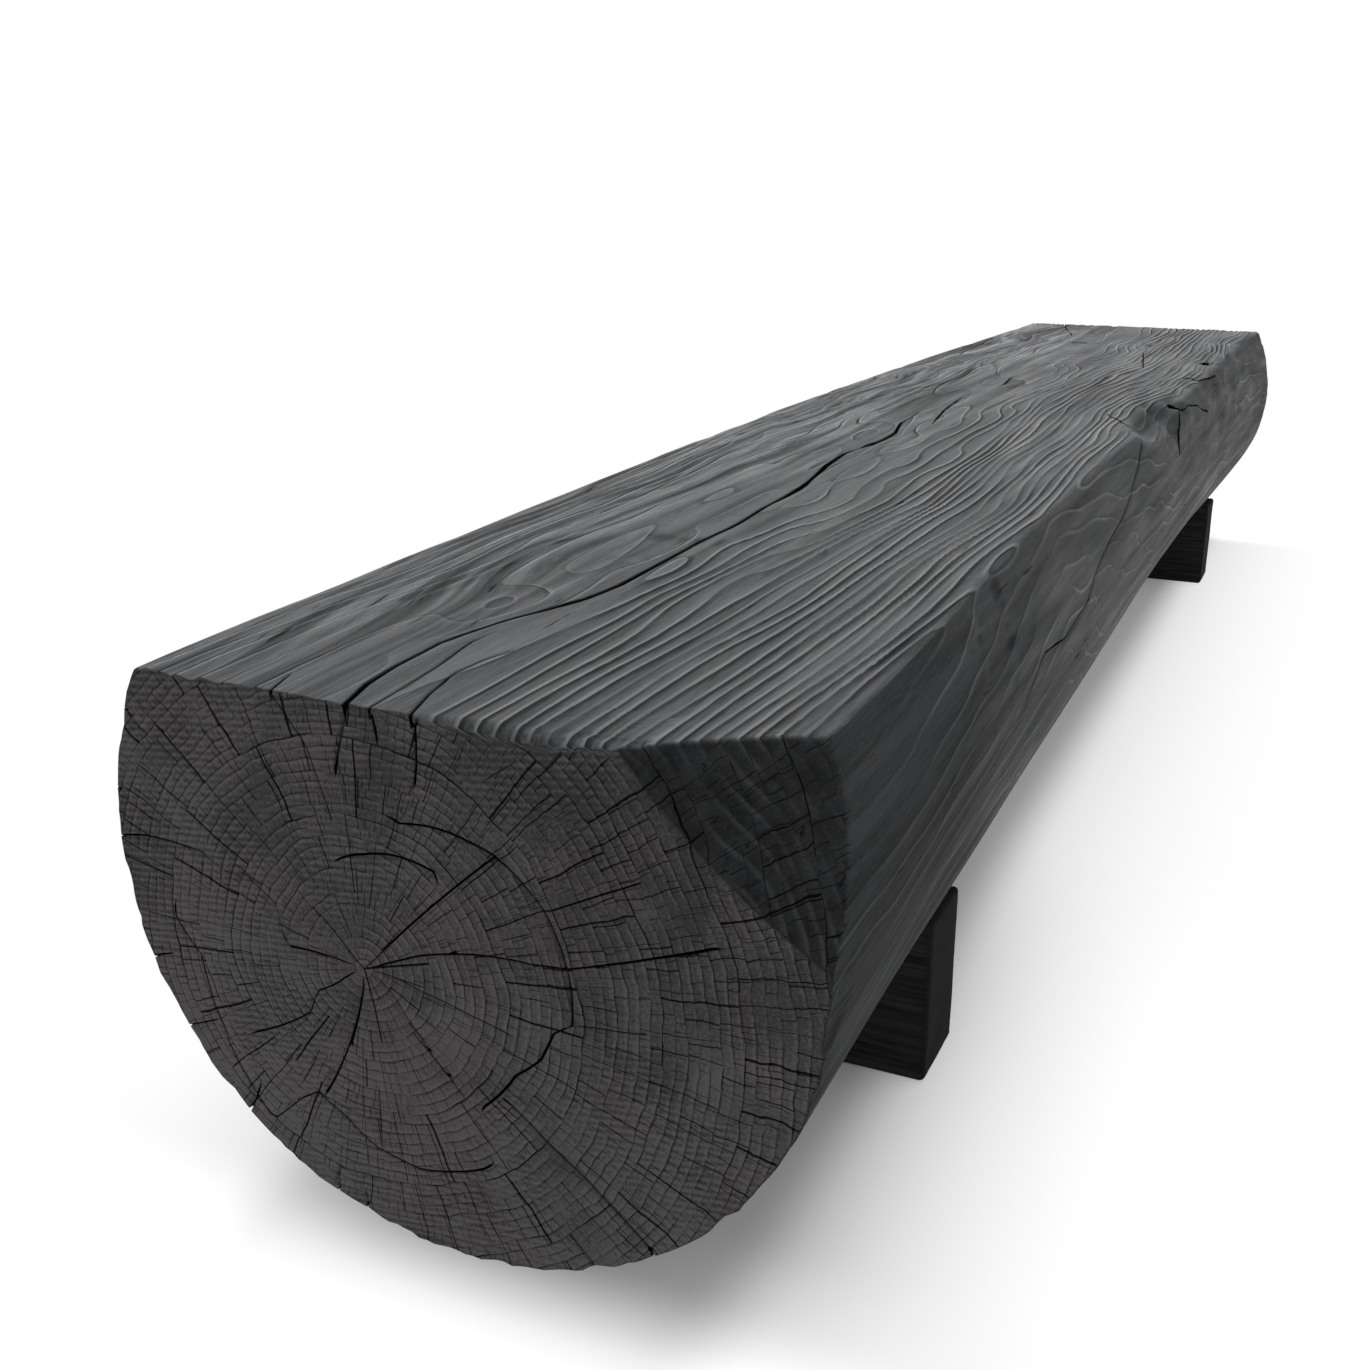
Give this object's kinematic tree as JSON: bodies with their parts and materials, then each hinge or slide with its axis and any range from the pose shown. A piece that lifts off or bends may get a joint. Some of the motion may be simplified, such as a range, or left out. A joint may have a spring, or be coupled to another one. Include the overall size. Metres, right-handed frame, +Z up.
{
  "type": "log bench",
  "caption": "Long low bench: a charred, wire-brushed round log with a flat sawn seat, housed over short cross feet and held by lag screws.",
  "frame": {"origin": "on the floor, below the middle of the bench's length and width", "axes": "+X along the log, away from the end with the scooped corner; -Y the front, where that corner and the knot hollow are; +Z up"},
  "size_m": [2.64, 0.5446, 0.42],
  "materials": {
    "charred_log": "charred and wire brushed, oiled",
    "charred_foot": "charred and wire brushed",
    "zinc_steel": "zinc plated"
  },
  "bodies": {
    "root": {"seat_log": "charred_log", "left_foot": "charred_foot", "right_foot": "charred_foot", "left_front_lag_screw": "zinc_steel", "left_rear_lag_screw": "zinc_steel", "right_front_lag_screw": "zinc_steel", "right_rear_lag_screw": "zinc_steel", "left_front_washer": "zinc_steel", "left_rear_washer": "zinc_steel", "right_front_washer": "zinc_steel", "right_rear_washer": "zinc_steel"}
  },
  "joints": []
}
